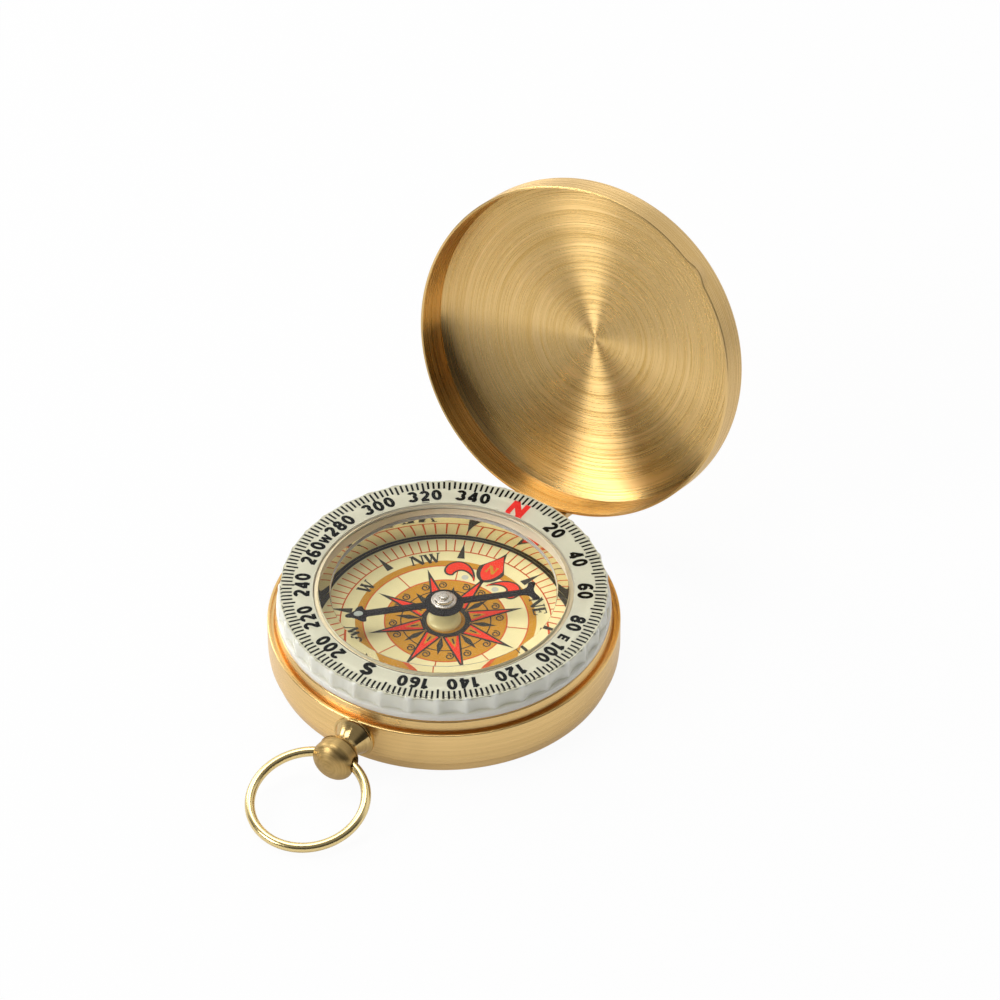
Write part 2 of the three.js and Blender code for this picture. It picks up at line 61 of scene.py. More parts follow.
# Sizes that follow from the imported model

def extent(node):
    """Radius about Z, lowest and highest height of a node."""
    low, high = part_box(node)
    return high.x / MM, low.z / MM, high.z / MM


def joint(name):
    """Axis point and largest angle in radians of a joint; the angle is 0 if it turns without limit."""
    found = next(j for j in frame["joints"] if j["name"] == name)
    limit = found.get("range_deg", [0, 0])[1]
    return Vector(found["pos_m"]) / MM, math.radians(limit)


def middle(node):
    low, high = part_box(node)
    return (low + high) / 2 / MM


case_radius, seam_height, neck_top = extent("case_body")
back_radius, base_height, back_top = extent("case_back")
bezel_radius, bezel_bottom = extent("bezel_ring")[:2]
scale_radius, scale_bottom, scale_top = extent("scale_ring")
crystal_radius, crystal_bottom, crystal_top = extent("crystal")
retainer_radius, retainer_bottom, retainer_top = extent("crystal_retainer")
cup_radius, cup_bottom, cup_top = extent("dial_cup")
card_radius, card_bottom, dial_height = extent("dial_card")
boss_radius, boss_bottom, boss_top = extent("pivot_boss")
cap_radius, cap_bottom, cap_top = extent("needle_cap")
collar_radius = extent("pendant_collar")[0]
bow_outer = extent("bow_ring")[0]
needle_bottom, needle_top = extent("needle")[1:]
lume_top = extent("needle_lume")[2]
lid_margin = 0.04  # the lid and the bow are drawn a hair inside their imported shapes
bow_margin = 0.03
lid_radius = extent("lid_shell")[0] - lid_margin

hinge, lid_travel = joint("lid_hinge")
bow_pivot = joint("bow_swing")[0]
lid_place = Matrix.Translation(hinge) @ Matrix.Rotation(-lid_travel, 4, "X") @ Matrix.Translation(-hinge)
shut_lid = [lid_place.inverted() @ (v.co / MM) for v in frame["nodes"]["lid_shell"].data.vertices]
lid_rim = min(p.z for p in shut_lid)
lid_top = max(p.z for p in shut_lid)
lume_place = middle("needle_lume").xy
arrow_bearing = math.atan2(lume_place.x, lume_place.y)
bow_offset = middle("bow_ring") - bow_pivot
collar_low, collar_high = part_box("pendant_collar")
ball_low, ball_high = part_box("bow_ball")
ball_radius = (ball_high.z - ball_low.z) / 2 / MM
pendant_height = middle("pendant_collar").z

# Sizes of the fine shapes
fit_gap = 0.15  # between pieces that sit in each other
centre_hole = 0.6  # for the pivot, in the well and the card
neck_width = 0.9
shoulder_height = 7.4
shoulder_width = 1.3
neck_draft = 0.42
groove_width = 0.45
groove_depth = 0.5
seam_inset = 0.12
wall_blend = 1.2
well_wall = card_radius + fit_gap
# The card reaches almost to the wall; the dark border printed to its edge is painted shade in that gap
card_edge = well_wall - 0.02
well_top = 18.05
mirror_top = 10.0
tube_radius = 19.2
bezel_bore = 19.35
bezel_turn = math.radians(2)
dial_turn = math.radians(1.5)
scallops = 36
scallop_depth = 0.5
scallop_share = 0.92
lid_wall = 0.4
lid_dome = 1.6
lid_corner = 1.7
lip_angle = math.radians(42)
lip_reach = 0.58
lip_width = 5.4
lip_height = 3.4
wire_radius = 0.7
ink = 0.012  # step between printed layers


# Meshes

def smoothed(mesh):
    mesh.shade_smooth()
    mesh.set_sharp_from_angle(angle=SHARP)
    return mesh


def finished(bm):
    """A smooth-shaded mesh from bm, with its faces turned outwards."""
    bmesh.ops.recalc_face_normals(bm, faces=bm.faces)
    mesh = bpy.data.meshes.new("surface")
    bm.to_mesh(mesh)
    bm.free()
    return smoothed(mesh)


def rounded(points, steps=5):
    """Points of a profile (radius, height); a corner with a third number gets a curve of that size."""
    path = []
    for i, (radius, height, *fillet) in enumerate(points):
        corner = Vector((radius, height))
        if not fillet:
            path.append(corner)
            continue
        sides = [Vector(points[k][:2]) - corner for k in (i - 1, (i + 1) % len(points))]
        start, end = [corner + side.normalized() * fillet[0] for side in sides]
        for step in range(steps + 1):
            t = step / steps
            path.append(start * (1 - t) ** 2 + corner * 2 * t * (1 - t) + end * t ** 2)
    return path


def arc(centre, radius, start, end, steps):
    """Points of an arc between two angles in degrees."""
    angles = [math.radians(start + (end - start) * i / steps) for i in range(steps + 1)]
    return [Vector((centre[0] + radius * math.cos(a), centre[1] + radius * math.sin(a))) for a in angles]


def turned(profile, segments, ring=False, reshape=None):
    """A mesh turned about Z. A ring's profile closes on itself; reshape gives a point's radius anew.

    Its map holds the share of the turn and the length along the profile in metres.
    """
    points = [Vector(p) * MM for p in profile]
    if ring:
        points.append(points[0])
    lengths = [0.0]
    for a, b in zip(points, points[1:]):
        lengths.append(lengths[-1] + (b - a).length)
    corners, rows = [], []
    for radius, height in points[:-1] if ring else points:
        bearings = [2 * math.pi * k / segments for k in range(segments)] if radius > 0 else [0.0]
        rows.append([len(corners) + k for k in range(len(bearings))])
        for bearing in bearings:
            wide = reshape(radius / MM, bearing, height / MM) * MM if reshape else radius
            corners.append((wide * math.sin(bearing), wide * math.cos(bearing), height))
    faces, places = [], []
    for i in range(len(points) - 1):
        low, high = rows[i], rows[(i + 1) % len(rows)]
        for k in range(segments):
            ring_of = [(low, k, i), (low, k + 1, i), (high, k + 1, i + 1), (high, k, i + 1)]
            face, spots = [], []
            for row, turn, level in ring_of:
                corner = row[turn % len(row)]
                if corner not in face:
                    face.append(corner)
                    spots.append((turn / segments, lengths[level]))
            if len(face) > 2:
                faces.append(face)
                places += spots
    mesh = bpy.data.meshes.new("turned")
    mesh.from_pydata(corners, [], faces)
    layer = mesh.uv_layers.new(name="lathe")
    for loop, spot in zip(layer.data, places):
        loop.uv = spot
    bm = bmesh.new()
    bm.from_mesh(mesh)
    return finished(bm)


def cut_by(mesh, tool):
    """The mesh with a closed tool mesh taken away."""
    body, cutter = [bpy.data.objects.new("cut", m) for m in (mesh, tool)]
    for part in (body, cutter):
        bpy.context.scene.collection.objects.link(part)
    modifier = body.modifiers.new("cut", "BOOLEAN")
    modifier.object = cutter
    modifier.solver = "EXACT"
    shaped = body.evaluated_get(bpy.context.evaluated_depsgraph_get())
    result = bpy.data.meshes.new_from_object(shaped)
    for part in (body, cutter):
        bpy.data.objects.remove(part)
    return smoothed(result)


def piece(name, mesh, body, material, replaced=(), place=None):
    """A shown piece that rides on a body and takes the given material."""
    if place is not None:
        mesh.transform(in_metres(place))
    made = bpy.data.objects.new(name, mesh)
    bpy.context.scene.collection.objects.link(made)
    mesh.materials.clear()
    mesh.materials.append(material)
    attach(made, body)
    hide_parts(*replaced)
    return made


def in_metres(place):
    scaled = place.copy()
    scaled.translation = place.translation * MM
    return scaled


class Print:
    """Flat printed shapes on one level, gathered into one mesh."""

    def __init__(self, height):
        self.bm = bmesh.new()
        self.height = height

    def polygon(self, points):
        self.bm.faces.new([self.bm.verts.new((x * MM, y * MM, self.height * MM)) for x, y in points])

    def stroke(self, points, widths):
        """A band along points; widths is one number, or one for each point."""
        line = [Vector(p) for p in points]
        sizes = widths if isinstance(widths, list) else [widths] * len(line)
        sides = []
        for i, (point, width) in enumerate(zip(line, sizes)):
            along = (line[min(i + 1, len(line) - 1)] - line[max(i - 1, 0)]).normalized()
            across = Vector((-along.y, along.x)) * width / 2
            sides.append((point + across, point - across))
        for (a, b), (c, d) in zip(sides, sides[1:]):
            self.polygon([a, b, d, c])

    def band(self, inner, outer):
        segments = 180
        for i in range(segments):
            a, b = [2 * math.pi * k / segments for k in (i, i + 1)]
            self.polygon([at(inner, a), at(outer, a), at(outer, b), at(inner, b)])

    def spike(self, bearing, foot, tip, half):
        """A triangle that points outwards."""
        self.polygon([at(foot, bearing, -half), at(tip, bearing), at(foot, bearing, half)])

    def mesh(self):
        made = bpy.data.meshes.new("print")
        self.bm.normal_update()
        for face in self.bm.faces:
            if face.normal.z < 0:
                face.normal_flip()
        self.bm.to_mesh(made)
        self.bm.free()
        return made


def at(radius, bearing, aside=0.0):
    """A point of the dial at a bearing in radians, moved aside clockwise."""
    outward = Vector((math.sin(bearing), math.cos(bearing)))
    clockwise = Vector((math.cos(bearing), -math.sin(bearing)))
    return outward * radius + clockwise * aside


def bezier(points, steps=8):
    """A quadratic or cubic curve through its end points."""
    path = []
    for i in range(steps + 1):
        level = [Vector(p) for p in points]
        t = i / steps
        while len(level) > 1:
            level = [a.lerp(b, t) for a, b in zip(level, level[1:])]
        path.append(level[0])
    return path


# Materials

def shader(name):
    made = bpy.data.materials.new(name)
    made.use_nodes = True
    made.node_tree.nodes.clear()
    return made


def node(tree, kind, inputs=None, **settings):
    """A new node; inputs maps a socket's name or number to a value or to another node's output."""
    made = tree.nodes.new(kind)
    for key, value in settings.items():
        setattr(made, key, value)
    for key, value in (inputs or {}).items():
        if isinstance(value, bpy.types.NodeSocket):
            tree.links.new(value, made.inputs[key])
        else:
            made.inputs[key].default_value = value
    return made


def math_node(tree, operation, a, b=0.0):
    return node(tree, "ShaderNodeMath", {0: a, 1: b}, operation=operation).outputs[0]


def shown(tree, surface):
    node(tree, "ShaderNodeOutputMaterial", {"Surface": surface})


def mixed(tree, share, low, high):
    """A colour between two, by a share from 0 to 1."""
    mix = node(tree, "ShaderNodeMix", data_type="RGBA")
    tree.links.new(share, mix.inputs[0])
    mix.inputs[6].default_value = (*low, 1)
    mix.inputs[7].default_value = (*high, 1)
    return mix.outputs[2]


def ranged(tree, value, low, high, start=0.0, end=1.0):
    """The value, stretched from start and end to low and high."""
    made = node(tree, "ShaderNodeMapRange", {
        "Value": value, "From Min": start, "From Max": end, "To Min": low, "To Max": high,
    })
    return made.outputs["Result"]


def noise(tree, vector, scale, detail=3.0, roughness=0.5):
    made = node(tree, "ShaderNodeTexNoise", {
        "Vector": vector, "Scale": scale, "Detail": detail, "Roughness": roughness,
    })
    return made.outputs["Fac"]


def lathe_lines(tree, fine):
    """Noise in fine rings round a turned piece, which changes slowly along each ring."""
    drift = 0.6
    spot = node(tree, "ShaderNodeUVMap", uv_map="lathe").outputs[0]
    parts = node(tree, "ShaderNodeSeparateXYZ", {0: spot}).outputs
    angle = math_node(tree, "MULTIPLY", parts["X"], 2 * math.pi)
    vector = node(tree, "ShaderNodeCombineXYZ", {
        "X": math_node(tree, "MULTIPLY", parts["Y"], fine),
        "Y": math_node(tree, "MULTIPLY", math_node(tree, "COSINE", angle), drift),
        "Z": math_node(tree, "MULTIPLY", math_node(tree, "SINE", angle), drift),
    }).outputs[0]
    return noise(tree, vector, 1.0, detail=4.0, roughness=0.65)


def brass(name, dark, light, roughness, stretch, fine=3000.0, bump=0.25):
    """Turned brass: the lathe's rings in colour, roughness and relief, and gloss stretched across them."""
    made = shader(name)
    tree = made.node_tree
    coarse = fine * 0.4
    lines = ranged(tree, lathe_lines(tree, fine), 0.0, 1.0, start=0.3, end=0.7)
    deep = ranged(tree, lathe_lines(tree, coarse), 0.0, 1.0, start=0.6, end=0.7)
    marks = math_node(tree, "MAXIMUM", lines, deep)
    relief = node(tree, "ShaderNodeBump", {"Strength": bump, "Distance": LATHE_RELIEF, "Height": lines})
    surface = node(tree, "ShaderNodeBsdfPrincipled", {
        "Base Color": mixed(tree, marks, dark, light),
        "Metallic": 1.0,
        "Roughness": ranged(tree, marks, roughness * 0.85, roughness * 1.2),
        "Normal": relief.outputs["Normal"],
        "Tangent": node(tree, "ShaderNodeTangent", direction_type="UV_MAP", uv_map="lathe").outputs[0],
        "Anisotropic": stretch,
        "Anisotropic Rotation": 0.25,
    })
    shown(tree, surface.outputs[0])
    return made


def plain(name, dark, light, roughness, metallic=0.0, grain=2500.0, bump=0.1, gloss=0.5):
    """Moulded, painted or printed surface: slight change of colour and a fine uneven relief."""
    made = shader(name)
    tree = made.node_tree
    place = node(tree, "ShaderNodeTexCoord").outputs["Object"]
    cloud = noise(tree, place, grain)
    relief = node(tree, "ShaderNodeBump", {"Strength": bump, "Distance": GRAIN_RELIEF, "Height": cloud})
    surface = node(tree, "ShaderNodeBsdfPrincipled", {
        "Base Color": mixed(tree, cloud, dark, light),
        "Metallic": metallic,
        "Roughness": ranged(tree, cloud, roughness * 0.85, roughness * 1.15),
        "Specular IOR Level": gloss,
        "Normal": relief.outputs["Normal"],
    })
    shown(tree, surface.outputs[0])
    return made


def clear(name, colour, roughness, gloss=1.0, through=1.0, glow=0.0):
    """Clear plastic that lets lamplight through to what lies behind; glow spreads light in a milky one."""
    made = shader(name)
    tree = made.node_tree
    place = node(tree, "ShaderNodeTexCoord").outputs["Object"]
    cloud = noise(tree, place, 900.0)
    surface = node(tree, "ShaderNodeBsdfPrincipled", {
        "Base Color": (*colour, 1),
        "Roughness": ranged(tree, cloud, roughness * 0.6, roughness * 1.4),
        "IOR": 1.49,
        "Specular Tint": (gloss, gloss, gloss, 1),
        "Transmission Weight": through,
        "Subsurface Weight": glow,
        "Subsurface Radius": (1, 1, 1),
        "Subsurface Scale": MM,
    })
    passed = node(tree, "ShaderNodeBsdfTransparent", {"Color": (*colour, 1)})
    lamps = node(tree, "ShaderNodeLightPath").outputs["Is Shadow Ray"]
    mix = node(tree, "ShaderNodeMixShader", {0: lamps, 1: surface.outputs[0], 2: passed.outputs[0]})
    shown(tree, mix.outputs[0])
    return made


case_brass = brass("case_brass", (0.78, 0.52, 0.21), (0.92, 0.64, 0.28), 0.24, 0.8)
lid_brass = brass("lid_brass", (0.62, 0.39, 0.12), (0.97, 0.68, 0.31), 0.27, 1.0, fine=4200.0, bump=0.13)
pendant_brass = brass("pendant_brass", (0.56, 0.38, 0.15), (0.74, 0.53, 0.23), 0.12, 0.5)
ball_brass = brass("ball_brass", (0.41, 0.27, 0.095), (0.63, 0.44, 0.185), 0.40, 0.5)
hinge_brass = plain("hinge_brass", (0.70, 0.46, 0.18), (0.88, 0.61, 0.27), 0.28, metallic=1.0)
wire_brass = plain("wire_brass", (0.80, 0.62, 0.28), (0.90, 0.72, 0.36), 0.22, metallic=1.0)
steel_bright = plain("steel_bright", (0.50, 0.48, 0.45), (0.62, 0.60, 0.58), 0.22, metallic=1.0)
cap_bright = plain("cap_bright", (0.54, 0.50, 0.45), (0.66, 0.61, 0.55), 0.25, metallic=1.0)
retainer_gilt = plain("retainer_gilt", (0.82, 0.70, 0.46), (0.90, 0.78, 0.54), 0.4, metallic=0.3)
well_polish = plain("well_polish", (0.80, 0.74, 0.60), (0.86, 0.80, 0.66), 0.04, metallic=1.0, bump=0.02)
cup_plastic = plain("cup_plastic", (0.70, 0.64, 0.52), (0.78, 0.72, 0.60), 0.4)
boss_gilt = plain("boss_gilt", (0.90, 0.76, 0.33), (0.96, 0.84, 0.42), 0.3, metallic=0.1)
crystal_clear = clear("crystal_clear", (0.99, 0.99, 0.97), 0.01, gloss=0.1)
crystal_frosted = clear("crystal_frosted", (0.93, 0.92, 0.88), 0.4, through=0.6)
crystal_edge = plain("crystal_edge", (0.78, 0.73, 0.56), (0.84, 0.79, 0.62), 0.5)
bezel_clear = clear("bezel_clear", (0.97, 0.98, 0.95), 0.03, gloss=0.1)
bezel_milky = clear("bezel_milky", (0.98, 0.95, 0.82), 0.05, through=0.0, glow=1.0)
scale_white = plain("scale_white", (0.68, 0.65, 0.51), (0.74, 0.71, 0.57), 0.5)
scale_black = plain("scale_black", (0.004, 0.004, 0.004), (0.008, 0.008, 0.007), 0.5, gloss=0.05)
scale_red = plain("scale_red", (0.72, 0.02, 0.02), (0.82, 0.04, 0.03), 0.45, gloss=0.1)
card_cream = plain("card_cream", (0.78, 0.69, 0.36), (0.86, 0.77, 0.43), 0.55, grain=700.0, gloss=0.1)
print_orange = plain("print_orange", (0.52, 0.23, 0.012), (0.62, 0.30, 0.02), 0.55, gloss=0.1)
print_red = plain("print_red", (0.78, 0.035, 0.012), (0.88, 0.05, 0.02), 0.55, gloss=0.1)
print_line = plain("print_line", (0.58, 0.08, 0.01), (0.68, 0.11, 0.02), 0.55, gloss=0.1)
print_dark = plain("print_dark", (0.034, 0.030, 0.020), (0.056, 0.050, 0.034), 0.55, gloss=0.1)
print_grey = plain("print_grey", (0.50, 0.50, 0.42), (0.58, 0.58, 0.50), 0.55, gloss=0.1)
needle_black = plain("needle_black", (0.008, 0.006, 0.006), (0.016, 0.012, 0.012), 0.5, gloss=0.1)
lume_pale = plain("lume_pale", (0.38, 0.42, 0.38), (0.50, 0.54, 0.48), 0.5)
jewel_red = plain("jewel_red", (0.30, 0.01, 0.02), (0.42, 0.02, 0.04), 0.08)


# Case

neck_radius = case_radius - shoulder_width
bore_radius = neck_radius - neck_width


def case_body():
    seam_radius = case_radius - seam_inset
    neck_foot = neck_radius + neck_draft
    return turned(rounded([
        (seam_radius, seam_height, 0.06),
        (case_radius, seam_height + wall_blend, 0.6),
        (case_radius, shoulder_height, 0.2),
        (neck_foot + groove_width, shoulder_height, 0.06),
        (neck_foot + groove_width, shoulder_height - groove_depth),
        (neck_foot, shoulder_height - groove_depth),
        (neck_radius, neck_top, 0.15),
        (bore_radius, neck_top, 0.1),
        (bore_radius, seam_height, 0.1),
    ]), ring=True, segments=240)


def case_back():
    spigot = bore_radius - fit_gap
    spigot_wall = 1
    edge_inset = 0.6
    lip = seam_height - seam_inset
    floor_top = lip - 0.7
    return turned(rounded([
        (0, base_height),
        (back_radius - edge_inset, base_height, 0.5),
        (back_radius, lip, 0.06),
        (spigot, lip, 0.05),
        (spigot, back_top, 0.1),
        (spigot - spigot_wall, back_top, 0.1),
        (spigot - spigot_wall, floor_top, 0.1),
        (0, floor_top),
    ]), segments=240)


piece("case_wall", case_body(), "case", case_brass, ["case_body"])
piece("case_base", case_back(), "case", case_brass, ["case_back"])


# Lid, drawn shut

def lid_shell():
    flat = lid_radius - lid_corner
    inside = lid_radius - lid_wall
    thick = 0.65  # at the corner
    skin = 0.24  # over the bezel
    fullness = 2.8
    lip_taper = 1.5
    hair = 0.01
    top = lid_top - lid_dome
    steps = 24
    shares = [i / steps for i in range(steps)]

    def dome(level, reach):
        return [Vector((reach * s, level + lid_dome * (1 - s ** fullness))) for s in shares]

    profile = dome(top, flat)
    profile += arc((flat, top - lid_corner), lid_corner, 90, 0, 10)
    lip_rows = 6
    rows = [lid_rim + lip_height * k / lip_rows for k in range(lip_rows, 0, -1)]
    profile += rounded([
        *[(lid_radius, row) for row in rows],
        (lid_radius, lid_rim, 0.12),
        (inside, lid_rim, 0.12),
        *[(inside, row) for row in reversed(rows)],
        (lid_radius - thick, top - thick, 0.08),
        (flat, top - skin),
    ])
    profile += dome(top - skin, flat)[::-1]

    def lip(radius, bearing, height):
        away = math.remainder(bearing - math.pi + lip_angle, 2 * math.pi) * lid_radius
        up = (height - lid_rim) / lip_height
        if abs(away) > lip_width / 2 or up > 1 or radius < lid_radius - thick - hair:
            return radius
        swell = math.cos(math.pi * away / lip_width) ** 2
        return radius + lip_reach * swell * (1 - max(up, 0)) ** lip_taper

    return turned(profile, segments=360, reshape=lip)


piece("lid_cover", lid_shell(), "lid", lid_brass, ["lid_shell"], lid_place)


# Pendant, turned about an axis that points away from the case

pendant_place = Matrix.Translation((0, 0, pendant_height)) @ Matrix.Rotation(math.pi / 2, 4, "X")


def pendant_collar():
    seat = -collar_high.y / MM
    end = -collar_low.y / MM
    lip = 0.55
    waist = 1.9
    straight = 0.7
    hollow = 1.5
    steps = 12
    flare = []
    for i in range(steps + 1):
        share = i / steps
        radius = waist + (collar_radius - lip / 2 - waist) * (1 - share) ** hollow
        flare.append((radius, seat + lip + (end - seat - lip - straight) * share))
    return turned(rounded([
        (0, seat),
        (collar_radius, seat, 0.08),
        (collar_radius, seat + lip, 0.12),
        *flare,
        (waist, end, 0.12),
        (0, end),
    ]), segments=96)


def bow_ball():
    """A spigot in the collar, a flat end, a barrel and a rounded free end, drilled across."""
    foot = -ball_high.y / MM
    end = -ball_low.y / MM
    length = 4
    start = end - length
    spigot = 1.1
    face = 2.5
    shoulder = 0.75
    nose = 1.7
    profile = rounded([
        (0, foot),
        (spigot, foot, 0.1),
        (spigot, start),
        (face, start, 0.2),
        ((face + ball_radius) / 2, start + shoulder / 4, 0.15),
        (ball_radius, start + shoulder, 0.2),
    ])
    quarter = arc((0, 0), 1, 0, 89, 24)  # up to the axis, which follows
    profile += [Vector((ball_radius * p.x, end - nose + nose * p.y)) for p in quarter]
    profile.append(Vector((0, end)))
    ball = turned(profile, segments=96)
    play = 0.46
    hole = wire_radius + play
    reach = 5
    bore = turned([(0, -reach), (hole, -reach), (hole, reach), (0, reach)], segments=48)
    across = Matrix.Rotation(math.pi / 2, 4, "Y")
    bore.transform(Matrix.Translation((0, 0, -bow_pivot.y * MM)) @ across)
    return cut_by(ball, bore)


piece("collar", pendant_collar(), "case", pendant_brass, ["pendant_collar"], pendant_place)
piece("ball", bow_ball(), "case", ball_brass, ["bow_ball"], pendant_place)


def bow_ring():
    wire = bow_outer - wire_radius - bow_margin
    return turned(arc((wire, 0), wire_radius, 0, 360, 24)[:-1], ring=True, segments=144)


bow_tilt = math.atan2(bow_offset.z, bow_offset.y)
bow_place = Matrix.Translation(bow_pivot + bow_offset) @ Matrix.Rotation(bow_tilt, 4, "X")
piece("bow", bow_ring(), "bow", wire_brass, ["bow_ring"], bow_place)


# Dial well

def dial_cup():
    thick = 1.2
    floor_bottom = card_bottom - thick
    flange_bottom = neck_top - thick
    skirt_inner = 18.6
    skirt_outer = 19.6
    seat = crystal_radius + fit_gap
    return turned(rounded([
        (centre_hole, floor_bottom),
        (skirt_inner, floor_bottom),
        (skirt_inner, cup_bottom),
        (skirt_outer, cup_bottom),
        (skirt_outer, flange_bottom),
        (cup_radius, flange_bottom),
        (cup_radius, neck_top, 0.1),
        (tube_radius, neck_top, 0.1),
        (tube_radius, cup_top, 0.1),
        (seat, cup_top, 0.05),
        (seat, crystal_bottom),
        (well_top, crystal_bottom),
        ((well_top + well_wall) / 2, mirror_top),
        (well_wall, card_bottom),
        (centre_hole, card_bottom),
    ]), ring=True, segments=240)


def polish_well(cup):
    """The wall inside the well is polished like a mirror, up to a plain band."""
    cup.data.materials.append(well_polish)
    nearest = well_wall - 0.5
    farthest = well_top + 0.05
    for face in cup.data.polygons:
        centre = face.center / MM
        low = card_bottom < centre.z < mirror_top
        inside = nearest < centre.xy.length < farthest
        face.material_index = int(low and inside)


def crystal():
    """A flat window, with a raised rim that stands inside the retainer and rises outwards."""
    rim_gap = 0.32
    rim_width = 1.73
    rim_outer = well_top - rim_gap
    rim_inner = rim_outer - rim_width
    rim_slope = 0.2
    flat = retainer_bottom
    return turned(rounded([
        (0, crystal_bottom),
        (crystal_radius, crystal_bottom, 0.05),
        (crystal_radius, flat),
        (rim_outer, flat),
        (rim_outer, crystal_top, 0.1),
        (rim_inner, crystal_top - rim_slope, 0.15),
        (rim_inner, flat, 0.1),
        (0, flat),
    ]), segments=240)


def frost_rim(disc):
    """The sides of the raised rim are not polished: hazy inside, pale outside."""
    disc.data.materials.append(crystal_frosted)
    disc.data.materials.append(crystal_edge)
    steep = 0.6
    rim_middle = well_top - 1
    for face in disc.data.polygons:
        centre = face.center / MM
        if abs(face.normal.z) < steep and centre.z > retainer_bottom:
            face.material_index = 1 if centre.xy.length < rim_middle else 2


def retainer():
    overlap = 0.3
    inner = well_top - overlap
    return turned(rounded([
        (inner, retainer_bottom, 0.04),
        (retainer_radius, retainer_bottom, 0.04),
        (retainer_radius, retainer_top, 0.08),
        (inner, retainer_top, 0.1),
    ]), ring=True, segments=240)


def dial_card():
    return turned([
        (centre_hole, card_bottom),
        (card_edge, card_bottom),
        (card_edge, dial_height),
        (centre_hole, dial_height),
    ], ring=True, segments=240)


def pivot_boss():
    rise = boss_top - boss_bottom
    straight = 0.22  # share of its height
    hole = 0.5
    steps = 16
    dome = []
    for i in range(steps):
        angle = math.radians(90 * i / steps)
        height = boss_bottom + rise * straight + rise * (1 - straight) * math.sin(angle)
        dome.append(Vector((boss_radius * math.cos(angle), height)))
    return turned([
        (hole, boss_bottom),
        (boss_radius, boss_bottom),
        *dome,
        (hole, boss_top),
    ], ring=True, segments=120)


polish_well(piece("well", dial_cup(), "case", cup_plastic, ["dial_cup"]))
frost_rim(piece("crystal_disc", crystal(), "case", crystal_clear, ["crystal"]))
piece("well_ring", retainer(), "case", retainer_gilt, ["crystal_retainer"])
piece("card", dial_card(), "case", card_cream, ["dial_card"])
piece("boss", pivot_boss(), "case", boss_gilt, ["pivot_boss"])


# Compass rose, printed on the card in layers

half_winds = [math.radians(22.5 + 45 * i) for i in range(8)]
winds = [math.radians(45 * i) for i in range(8)]
dial_aside = 0.3  # the print lies off centre
dial_place = Matrix.Translation((dial_aside, 0, 0)) @ Matrix.Rotation(-dial_turn, 4, "Z")
hub_inner = 2.75
hub_outer = 3.45
hoop_inner = 6.3
hoop_outer = 6.48
spiral_radius = 7.6
spiral_angle = math.radians(9.6)
spiral_size = 0.68
disc_inner = 2.0
disc_radius = 8.65
band_inner = 11.8
band_outer = 12.9
tick_inner = 15.0
tick_outer = 17.45
tick_count = 80
letter_radius = 13.45
letter_size = 1.95
letter_turn = 0.02

# Serif capitals as strokes in a box of height 1: the letter's width, then points and width of each stroke
serif = {
    "N": (0.78, [
        ([(0.0, 0), (0.0, 1)], 0.09), ([(0.02, 1), (0.74, 0)], 0.20), ([(0.75, 0), (0.75, 1)], 0.09),
        ([(-0.14, 0.03), (0.14, 0.03)], 0.06), ([(-0.16, 0.97), (0.10, 0.97)], 0.06),
        ([(0.60, 0.97), (0.90, 0.97)], 0.06),
    ]),
    "E": (0.68, [
        ([(0.14, 0), (0.14, 1)], 0.20), ([(0, 0.965), (0.62, 0.965)], 0.07),
        ([(0.14, 0.52), (0.45, 0.52)], 0.07), ([(0, 0.035), (0.66, 0.035)], 0.07),
        ([(0.61, 1), (0.63, 0.76)], 0.06), ([(0.64, 0), (0.68, 0.26)], 0.06),
        ([(0.45, 0.64), (0.45, 0.40)], 0.06),
    ]),
    "W": (1.06, [
        ([(0.02, 1), (0.30, 0)], 0.18), ([(0.30, 0), (0.56, 1)], 0.08), ([(0.46, 1), (0.76, 0)], 0.18),
        ([(0.76, 0), (1.04, 1)], 0.08), ([(-0.13, 0.97), (0.18, 0.97)], 0.06),
        ([(0.36, 0.97), (0.66, 0.97)], 0.06), ([(0.92, 0.97), (1.17, 0.97)], 0.06),
    ]),
    "S": (0.52, [
        (bezier([(0.50, 0.76), (0.46, 0.98), (0.10, 1.06), (0.06, 0.76)]), 0.10),
        (bezier([(0.06, 0.76), (0.08, 0.52), (0.46, 0.56), (0.48, 0.27)]), 0.18),
        (bezier([(0.48, 0.27), (0.46, -0.06), (0.06, -0.04), (0.02, 0.26)]), 0.10),
        ([(0.50, 1.0), (0.50, 0.74)], 0.06), ([(0.03, 0.0), (0.03, 0.28)], 0.06),
    ]),
}


def letters(sheet, text, bearing, radius, size, font, weight=1.0):
    """Letters with their tops outwards, centred at a bearing; crossing strokes differ a hair in height."""
    gap = 0.2
    lift = ink / 10
    width = sum(font[c][0] for c in text) + gap * (len(text) - 1)
    start = -width / 2
    for c in text:
        for points, thick in font[c][1]:
            placed = [at(radius + (y - 0.5) * size, bearing, (start + x) * size) for x, y in points]
            sheet.stroke(placed, thick * size * weight)
            sheet.height += lift
        sheet.height -= lift * len(font[c][1])
        start += font[c][0] + gap


def spiral(sheet, centre, size):
    turns = 1.4
    steps = 36
    eye = 0.28  # its start, as a share of its size
    width = 0.2
    path = []
    for i in range(steps + 1):
        angle = 2 * math.pi * turns * i / steps
        share = eye + (1 - eye) * i / steps
        path.append(centre + Vector((math.cos(angle), math.sin(angle))) * size * share)
    sheet.stroke(path, width)


def petal(side):
    """Outline of a side petal of the lily: a crescent that curls outwards, with a point at its foot."""
    outer = bezier([(0.88, 9.1), (1.9, 12.2), (5.3, 13.2), (6.1, 10.4)], 14)
    curl = bezier([(6.1, 10.4), (6.3, 8.6), (4.9, 8.0), (4.2, 8.8)], 10)
    inner = bezier([(4.2, 8.8), (4.4, 10.7), (2.6, 10.9), (0.88, 9.1)], 14)
    return [Vector((side * x, y)) for x, y in (*outer, *curl[1:], *inner[1:-1])]


